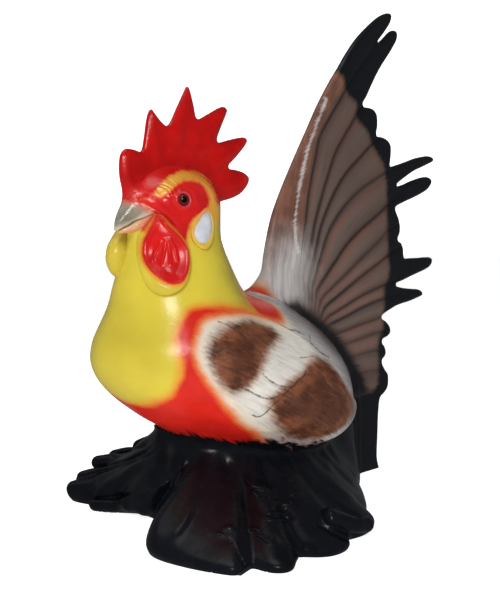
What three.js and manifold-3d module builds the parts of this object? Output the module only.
// Rooster garden figure: hollow painted figure on a lobed black base.
// Millimetres, +Z up. The bird faces -Y and +X is the bird's left side.
// The origin is the middle of the footprint of the whole figure's bounding box, on the ground.
import * as THREE from 'three';
import { mergeVertices } from 'three/addons/utils/BufferGeometryUtils.js';
import Module from 'manifold-3d';

const wasm = await Module();
wasm.setup();

// ---------------------------------------------------------------- driving dimensions
const AXIS_Y = -142;          // the body's vertical axis, measured from the origin along Y
const GAP = 0.3;              // clearance between touching pieces
const WALL = 4.5;             // wall thickness of the body shells
const SEAM = 0.15;            // half of the clearance on the centreline seam

// egg-shaped trunk, its rear end tilted down: half width, half length ahead of and behind its centre, height above and below it
const BODY = { y: 23.3, z: 157.7, a: 143.2, front: 206.5, rear: 162, top: 119.9, bottom: 73.5, tilt: 18.1 };

// neck and head: height, centre Y, half width, half length
const NECK = [
  [172, -20, 84, 104],
  [205, -26, 116, 141],
  [228, -30, 117, 140],
  [240, -38, 109, 128],
  [254, -49, 98, 113],
  [277, -68, 80, 86],
  [290, -73, 74, 79],
  [305, -75, 68, 73],
  [330, -76, 58, 63],
  [350, -77, 51, 58],
  [370, -78, 47, 62],
  [388, -79, 44.5, 65],
  [402, -80, 40, 62],
  [414, -80, 33, 55],
  [424, -79, 23, 43],
  [430, -78, 11, 25],
];

const COMB_HALF = 6;          // half thickness of the comb
const COMB = [                // outline in the mid-plane, Y then Z
  [-142.5, 396], [-149, 403], [-154, 416], [-155.5, 431], [-153.5, 444], [-148, 450], [-138, 450.5], [-124.5, 448],
  [-120, 466], [-117, 483], [-114, 493], [-110.5, 497.5], [-106.5, 494], [-98, 486], [-87, 480],
  [-71, 504], [-60, 523], [-56, 529], [-52.5, 524], [-47, 508], [-41.5, 492],
  [-22, 500], [-5, 508.5], [3, 510.5], [8, 507], [6, 501], [-3, 484], [-10, 467],
  [12, 471], [30, 475], [39.5, 475.5], [42.5, 472], [38.5, 465], [23, 450], [8, 437],
  [23, 434.5], [36, 432], [45, 426], [44, 419], [33, 407], [18.5, 400], [3, 396], [-9.5, 393],
  [-40, 400], [-80, 404], [-120, 400],
];
const COMB_TONGUE = { y0: -108, y1: -52, z0: 408, half: 3.5 };

const EYE = { x: 40.5, y: -97, z: 393.5, r: 7.4 };
const WATTLE = { x: 40, y: -123, z: 332, turn: 60, halfWidth: 31, halfHeight: 45, halfThick: 15 };
const LOBE = { x: 46, y: -70, z: 360, turn: 84, halfWidth: 14.5, halfHeight: 22, halfThick: 9, lean: 14 };
// beak: along it from the face to the tip, Y, Z centre, half width, half height
const BEAK_UPPER = [
  [-112, 394, 20, 17], [-126, 390, 18, 15], [-139, 382.5, 14, 12.5], [-149, 374.5, 10, 9], [-156.5, 367, 6, 6], [-160.8, 360.5, 1.6, 2.2],
];
const BEAK_LOWER = [
  [-112, 374, 17, 9], [-124, 370.5, 15, 8], [-136, 365.5, 11.5, 6.5], [-147, 361.5, 7.5, 5], [-155, 358.5, 2.6, 2.4],
];

const WING_PROUD = 8;         // how far the wing pad stands off the flank
const WING = [                // outline on the flank, Y then Z
  [-122, 239], [-117, 250], [-105, 259], [-88, 264], [-68, 265.5], [-46, 264], [-26, 260], [-10, 254], [4, 246], [18, 234],
  [32, 221], [47, 206], [62, 189], [78, 172], [94, 158], [106, 148], [110, 139], [104, 129], [92, 119], [78, 110], [62, 103], [40, 99],
  [10, 101], [-12, 108], [-37, 121], [-60, 134], [-78, 147], [-93, 161], [-104, 176], [-113, 192], [-119, 208], [-123, 224],
];

const TAIL_HALF = 5;          // half thickness of the fan
const TAIL = [                // outline in the mid-plane, Y then Z
  [30, 262], [52, 285], [66, 291], [72, 302], [78, 335], [90, 378], [104.5, 408], [122.5, 439], [141.5, 470], [160.5, 500], [175.5, 524], [191, 546], [207, 567], [223, 586],
  [239, 606], [256, 625], [272.5, 640], [290.5, 654], [306, 665], [320.5, 673], [332, 678], [338, 678], [340, 674], [337.5, 664], [324, 648], [305.5, 629], [324.5, 640], [337, 650],
  [345, 654], [352, 654], [354.5, 650], [353.5, 641], [345, 629], [331, 613], [317, 598], [305, 583], [294.5, 568], [283.5, 551], [272, 536], [288, 536], [298, 535], [304.5, 531],
  [308, 525], [309, 511], [306, 497], [321.5, 496], [331, 494], [337, 491], [341.5, 486], [343, 477], [342, 465], [340.5, 453], [364, 458], [387, 464], [407, 469.5], [425.5, 473],
  [443, 475], [453, 473], [456, 467], [441, 462], [422.5, 456], [404.5, 450], [380, 439], [356.5, 425], [377, 428], [393, 433], [408, 437], [425.5, 441], [442.5, 442], [449.5, 439],
  [451.5, 433], [441, 422], [422.5, 415], [401, 408], [377.5, 401], [355, 392], [359.5, 385], [366.5, 374], [369, 364], [368, 354], [362, 344], [373.5, 339], [378, 330], [378.5, 316],
  [400, 315.5], [420, 315.5], [440, 316], [455.5, 314.5], [457, 309], [453, 302], [440, 297], [420, 292], [399, 287], [380, 282], [358, 276], [381, 270], [403.5, 267.5], [424, 265],
  [430, 261], [431.5, 256], [415, 252], [394.5, 248], [378.5, 246], [362, 243], [349, 239], [336.5, 235], [323, 228], [337.5, 221], [346.5, 212], [347.5, 203], [340.5, 198], [325, 193],
  [333.5, 184], [337, 174], [334.5, 168], [325, 163], [335, 149], [342.5, 141], [344, 132], [342.5, 121], [335.5, 113], [322.5, 106], [320, 90], [318, 50], [317, 16], [322, 4],
  [326, 0], [240, 0], [240, 90], [150, 90], [110, 180],
];
const TAIL_ROOT = { y: 122, z: 222, half: 22, along: 88, out: 62, tilt: -45 };    // thick root where the fan leaves the rump
const TAIL_TONGUE = { y0: 84, y1: 150, z0: 196, z1: 226, half: 5 };

const BASE_CENTRE_Y = 25;
const BASE_TOP = { front: 130, side: 108, rear: 110 };
const BASE_WALL = 6;
const BASE_ROOF = 9;
const PLATE_THICK = 4;
const BASE_FLARE = [[0, 1], [0.09, 1], [0.17, 0.93], [0.27, 0.78], [0.38, 0.62], [0.5, 0.45], [0.64, 0.28], [0.8, 0.12], [1, 0]];   // share of the height, share of the spread
const BASE_GROUND = [         // footprint, X then Y
  [-38, -78], [-8, -100], [29, -146], [45, -160], [67, -166], [111, -158], [155, -141], [170, -132], [163, -117], [149, -103],
  [178, -106], [193, -98], [200, -84], [190, -67], [172, -48], [189, -34], [200, -18], [202, 4], [194, 21], [180, 34],
  [182, 61], [174, 90], [160, 108], [141, 118], [121, 143], [84, 182], [57, 207], [32, 240], [16, 258], [0, 262],
  [-16, 258], [-32, 240], [-57, 207], [-90, 182], [-125, 145], [-148, 122], [-166, 106], [-178, 84], [-182, 60], [-176, 36],
  [-195, 21], [-202, 2], [-197, -20], [-176, -44], [-196, -64], [-202, -84], [-196, -104], [-178, -112], [-158, -102], [-146, -88],
  [-138, -108], [-120, -114], [-104, -102], [-90, -80], [-66, -74],
];
const BASE_UPPER = [          // outline of the top, X then Y
  [0, -79], [22, -76], [43, -64], [60, -43], [70, -10], [74, 30], [72, 70], [64, 110], [52, 150], [40, 190], [28, 228], [16, 252], [0, 260],
  [-16, 252], [-28, 228], [-40, 190], [-52, 150], [-64, 110], [-72, 70], [-76, 30], [-74, -10], [-62, -43], [-43, -64], [-22, -76],
];

// ---------------------------------------------------------------- solids from geometries
function solid(geometry) {
  const g = geometry.index ? geometry.clone() : geometry.clone();
  g.deleteAttribute('normal');
  g.deleteAttribute('uv');
  const m = mergeVertices(g, 1e-4);
  const p = m.attributes.position.array;
  const ix = m.index.array;
  const tri = [];
  for (let i = 0; i < ix.length; i += 3) {
    const a = ix[i], b = ix[i + 1], c = ix[i + 2];
    if (a !== b && b !== c && c !== a) tri.push(a, b, c);
  }
  const out = new wasm.Manifold(new wasm.Mesh({ numProp: 3, vertProperties: Float32Array.from(p), triVerts: Uint32Array.from(tri) }));
  return out;
}

function box(x0, x1, y0, y1, z0, z1) {
  const g = new THREE.BoxGeometry(x1 - x0, y1 - y0, z1 - z0);
  g.translate((x0 + x1) / 2, (y0 + y1) / 2, (z0 + z1) / 2);
  return solid(g);
}

// a cylinder whose rings are moved to given sections: place(t, angle) gives the rim point, centre(t) the middle of an end
function loft(segments, rings, place, centre) {
  const g = new THREE.CylinderGeometry(1, 1, 1, segments, rings, false);
  const p = g.attributes.position;
  for (let i = 0; i < p.count; i++) {
    const x = p.getX(i), z = p.getZ(i), t = p.getY(i) + 0.5;
    const v = Math.hypot(x, z) < 0.5 ? centre(t) : place(t, Math.atan2(-z, x));
    p.setXYZ(i, v[0], v[1], v[2]);
  }
  return solid(g);
}

// an outline in the YZ plane, extruded along X between two planes
function slab(outline, x0, x1) {
  const s = new THREE.Shape(outline.map(([y, z]) => new THREE.Vector2(y, z)));
  const g = new THREE.ExtrudeGeometry(s, { depth: x1 - x0, bevelEnabled: false, steps: 1 });
  // the shape's own axes become Y and Z, and its depth becomes X
  g.applyMatrix4(new THREE.Matrix4().set(0, 0, 1, x0, 1, 0, 0, 0, 0, 1, 0, 0, 0, 0, 0, 1));
  return solid(g);
}

function mix(a, b, t) { return a + (b - a) * t; }

// smooth value through the rows of a table at an even parameter
function row(table, t) {
  const n = table.length - 1;
  const f = Math.min(Math.max(t, 0), 1) * n;
  const i = Math.min(Math.floor(f), n - 1);
  const k = f - i;
  return table[i].map((v, j) => mix(v, table[i + 1][j], k));
}

function radiusAt(poly, cy, angle) {
  const dx = Math.cos(angle), dy = Math.sin(angle);
  let best = 0;
  for (let i = 0; i < poly.length; i++) {
    const [x0, y0r] = poly[i], [x1, y1r] = poly[(i + 1) % poly.length];
    const y0 = y0r - cy, y1 = y1r - cy;
    const ex = x1 - x0, ey = y1 - y0;
    const det = ex * dy - ey * dx;
    if (Math.abs(det) < 1e-9) continue;
    const s = (-x0 * dy + y0 * dx) / det;
    const r = Math.abs(dx) > Math.abs(dy) ? (x0 + s * ex) / dx : (y0 + s * ey) / dy;
    if (s >= -1e-6 && s <= 1 + 1e-6 && r > best) best = r;
  }
  return best;
}

// ---------------------------------------------------------------- body form
function egg(grow) {
  const g = new THREE.SphereGeometry(1, 30, 18);
  g.rotateX(Math.PI / 2);
  const p = g.attributes.position;
  const q = THREE.MathUtils.degToRad(BODY.tilt);
  for (let i = 0; i < p.count; i++) {
    const y = p.getY(i) * ((p.getY(i) < 0 ? BODY.front : BODY.rear) + grow);
    const z = p.getZ(i) * ((p.getZ(i) > 0 ? BODY.top : BODY.bottom) + grow);
    p.setXYZ(i, p.getX(i) * (BODY.a + grow), BODY.y + y * Math.cos(q) + z * Math.sin(q), BODY.z - y * Math.sin(q) + z * Math.cos(q));
  }
  return solid(g);
}

function neck(grow) {
  const n = NECK.length - 1;
  return loft(28, n, (t, q) => {
    const [z, yc, a, b] = row(NECK, t);
    const lift = t > 0.999 ? grow : 0;
    return [(a + grow) * Math.cos(q), yc + (b + grow) * Math.sin(q), z + lift];
  }, (t) => {
    const [z, yc] = row(NECK, t);
    return [0, yc, z + (t > 0.5 ? grow + 2.5 : 0)];
  });
}

function body(grow) { return egg(grow).add(neck(grow)); }

// height of the base's upper rim in the direction q
function rim(q) {
  const s = Math.sin(q);
  return s < 0 ? mix(BASE_TOP.side, BASE_TOP.front, s * s) : mix(BASE_TOP.side, BASE_TOP.rear, s * s);
}

function baseSection(z, q) {
  const top = radiusAt(BASE_UPPER, BASE_CENTRE_Y, q);
  const ground = radiusAt(BASE_GROUND, BASE_CENTRE_Y, q);
  const s = Math.min(Math.max(z / rim(q), 0), 1);
  let f = 0;
  for (let i = 1; i < BASE_FLARE.length; i++) {
    const [s0, f0] = BASE_FLARE[i - 1], [s1, f1] = BASE_FLARE[i];
    if (s >= s0) f = mix(f0, f1, (s - s0) / (s1 - s0));
  }
  return top + (ground - top) * f;
}

function base(grow, drop, bottom, rings) {
  return loft(84, rings, (t, q) => {
    const z = mix(bottom, rim(q) - drop, t);
    const r = baseSection(z, q) + grow;
    return [r * Math.cos(q), BASE_CENTRE_Y + r * Math.sin(q), z];
  }, (t) => [0, BASE_CENTRE_Y, mix(bottom, BASE_TOP.side - drop, t)]);
}

function mirror(m) { return m.mirror([1, 0, 0]); }

// ---------------------------------------------------------------- pieces
const outer = body(0);
const around = body(GAP);
const inner = body(-WALL);
const baseOuter = base(0, 0, 0, 7);
const baseAround = base(GAP, -GAP, -1, 7);

// comb with a tongue that drops into the crown
const combTongue = (g) => box(-COMB_TONGUE.half - g, COMB_TONGUE.half + g, COMB_TONGUE.y0 - g, COMB_TONGUE.y1 + g, COMB_TONGUE.z0 - g, 440);
const combBlade = slab(COMB, -COMB_HALF, COMB_HALF).subtract(around);

// tail fan with its thick root and a tongue that enters the rump
const tailTongue = (g) => box(-TAIL_TONGUE.half - g, TAIL_TONGUE.half + g, TAIL_TONGUE.y0 - g, TAIL_TONGUE.y1 + g + 60, TAIL_TONGUE.z0 - g, TAIL_TONGUE.z1 + g);
const rootShape = new THREE.SphereGeometry(1, 20, 12);
rootShape.scale(TAIL_ROOT.half, TAIL_ROOT.along, TAIL_ROOT.out);
rootShape.rotateX(THREE.MathUtils.degToRad(TAIL_ROOT.tilt));
rootShape.translate(0, TAIL_ROOT.y, TAIL_ROOT.z);
const fan = slab(TAIL, -TAIL_HALF, TAIL_HALF).add(solid(rootShape)).subtract(around).subtract(baseAround);
const tailFan = fan.add(tailTongue(0).subtract(body(-WALL - 14)));

// eyes
const eyeBall = (g) => {
  const s = new THREE.SphereGeometry(EYE.r + g, 16, 10);
  s.translate(EYE.x, EYE.y, EYE.z);
  return solid(s);
};

// a plump pad: a sphere flattened and narrowed towards its top, turned to face outward
function pad(spec, grow, taper) {
  const g = new THREE.SphereGeometry(1, 20, 14);
  const p = g.attributes.position;
  const q = THREE.MathUtils.degToRad(spec.turn);
  const n = [Math.sin(q), -Math.cos(q)];
  const t = [Math.cos(q), Math.sin(q)];
  const lean = THREE.MathUtils.degToRad(spec.lean || 0);
  for (let i = 0; i < p.count; i++) {
    const up = p.getY(i);
    const narrow = taper ? 0.8 - 0.35 * Math.tanh(up * 1.6) : 1;
    const w = p.getX(i) * (spec.halfWidth + grow) * narrow;
    const h = up * (spec.halfHeight + grow);
    const d = p.getZ(i) * (spec.halfThick + grow);
    const ww = w * Math.cos(lean) + h * Math.sin(lean);
    const hh = -w * Math.sin(lean) + h * Math.cos(lean);
    p.setXYZ(i, spec.x + t[0] * ww + n[0] * d, spec.y + t[1] * ww + n[1] * d, spec.z + hh);
  }
  let m = solid(g);
  if (m.volume() < 0) throw new Error('pad is inside out');
  return m;
}
const wattleRaw = pad(WATTLE, 0, true);
const wattleGrown = pad(WATTLE, GAP, true);
const lobeRaw = pad(LOBE, 0, false);

// beak halves: sections set along a bent centreline
function beak(table, grow, keepAbove) {
  const n = table.length - 1;
  const m = loft(20, n * 2, (t, q) => {
    const [y, z, w, h] = row(table, 1 - t);
    const [y2, z2] = row(table, Math.min(1, 1 - t + 0.05));
    const [y0, z0] = row(table, Math.max(0, 1 - t - 0.05));
    const l = Math.hypot(y2 - y0, z2 - z0);
    const ny = -(z2 - z0) / l, nz = (y2 - y0) / l;
    const s = Math.sin(q) * (h + grow);
    return [(w + grow) * Math.cos(q), y + ny * s, z + nz * s];
  }, (t) => {
    const [y, z] = row(table, 1 - t);
    return [0, y, z];
  });
  return m;
}
const beakUpperRaw = beak(BEAK_UPPER, 0);
const beakUpperGrown = beak(BEAK_UPPER, GAP);
const beakLowerRaw = beak(BEAK_LOWER, 0);
const beakLowerGrown = beak(BEAK_LOWER, GAP);

const beakUpper = beakUpperRaw.subtract(around).subtract(slab(COMB, -COMB_HALF - GAP, COMB_HALF + GAP));
const beakLower = beakLowerRaw.subtract(around).subtract(beakUpperGrown);
const wattleRight = mirror(wattleRaw).subtract(around).subtract(beakUpperGrown).subtract(beakLowerGrown).subtract(wattleGrown);
const wattleLeft = wattleRaw.subtract(around).subtract(beakUpperGrown).subtract(beakLowerGrown).subtract(mirror(wattleGrown));
const lobeLeft = lobeRaw.subtract(around).subtract(wattleGrown);
const lobeRight = mirror(lobeRaw).subtract(around).subtract(mirror(wattleGrown));

// wing: the part of a thickened flank inside the outline
const thick = body(WING_PROUD);
const wingLeft = slab(WING, 30, 200).intersect(thick).subtract(around).subtract(baseAround);
const wingRight = mirror(slab(WING, 30, 200)).intersect(thick).subtract(around).subtract(baseAround);

// half shells
const shell = outer.subtract(inner)
  .subtract(combTongue(GAP))
  .subtract(tailTongue(GAP))
  .subtract(eyeBall(GAP))
  .subtract(mirror(eyeBall(GAP)));
const shellLeft = shell.intersect(box(SEAM, 300, -400, 400, 0, 700));
const shellRight = shell.intersect(box(-300, -SEAM, -400, 400, 0, 700));

// base: lobed shell with a seat for the belly, and the plate that closes it
const baseShell = baseOuter.subtract(around).subtract(base(-BASE_WALL, BASE_ROOF, -1, 6));
const basePlate = loft(84, 1, (t, q) => {
  const r = baseSection(PLATE_THICK + 1, q) - BASE_WALL - 2.2;
  return [r * Math.cos(q), BASE_CENTRE_Y + r * Math.sin(q), t * PLATE_THICK];
}, (t) => [0, BASE_CENTRE_Y, t * PLATE_THICK]);

// ---------------------------------------------------------------- scene graph
const figure = new THREE.Group();
const shifted = new THREE.Group();
shifted.position.set(0, AXIS_Y, 0);
figure.add(shifted);

// the largest connected body of a solid
function main(m) {
  const parts = m.decompose();
  let best = parts[0];
  for (const p of parts) if (p.volume() > best.volume()) best = p;
  return best;
}

function piece(name, m, colour, roughness, metalness = 0) {
  const mesh = main(m).getMesh();
  const n = mesh.vertProperties.length / mesh.numProp;
  const pos = new Float32Array(n * 3);
  for (let i = 0; i < n; i++) for (let j = 0; j < 3; j++) pos[i * 3 + j] = mesh.vertProperties[i * mesh.numProp + j];
  const g = new THREE.BufferGeometry();
  g.setAttribute('position', new THREE.BufferAttribute(pos, 3));
  g.setIndex(new THREE.BufferAttribute(Uint32Array.from(mesh.triVerts), 1));
  g.computeVertexNormals();
  const out = new THREE.Mesh(g, new THREE.MeshStandardMaterial({ color: colour, roughness, metalness }));
  out.name = name;
  shifted.add(out);
}

piece('body_shell_left', shellLeft, 0xd9c74a, 0.38);
piece('body_shell_right', shellRight, 0xd9c74a, 0.38);
piece('comb', combBlade.add(combTongue(0).subtract(body(-WALL - 7))), 0xc8161a, 0.36);
piece('beak_upper', beakUpper, 0xa79a86, 0.35);
piece('beak_lower', beakLower, 0xcdbfa4, 0.35);
piece('wattle_left', wattleLeft, 0xc21518, 0.36);
piece('wattle_right', wattleRight, 0xc21518, 0.36);
piece('earlobe_left', lobeLeft, 0xe9e8e2, 0.34);
piece('earlobe_right', lobeRight, 0xe9e8e2, 0.34);
piece('eye_left', eyeBall(0), 0x3a1408, 0.06);
piece('eye_right', mirror(eyeBall(0)), 0x3a1408, 0.06);
piece('wing_left', wingLeft, 0xd8d0bf, 0.42);
piece('wing_right', wingRight, 0xd8d0bf, 0.42);
piece('tail_fan', tailFan, 0x6f5e50, 0.42);
piece('base_shell', baseShell, 0x0c0c0e, 0.3);
piece('base_plate', basePlate, 0x17171a, 0.55);

export default figure;
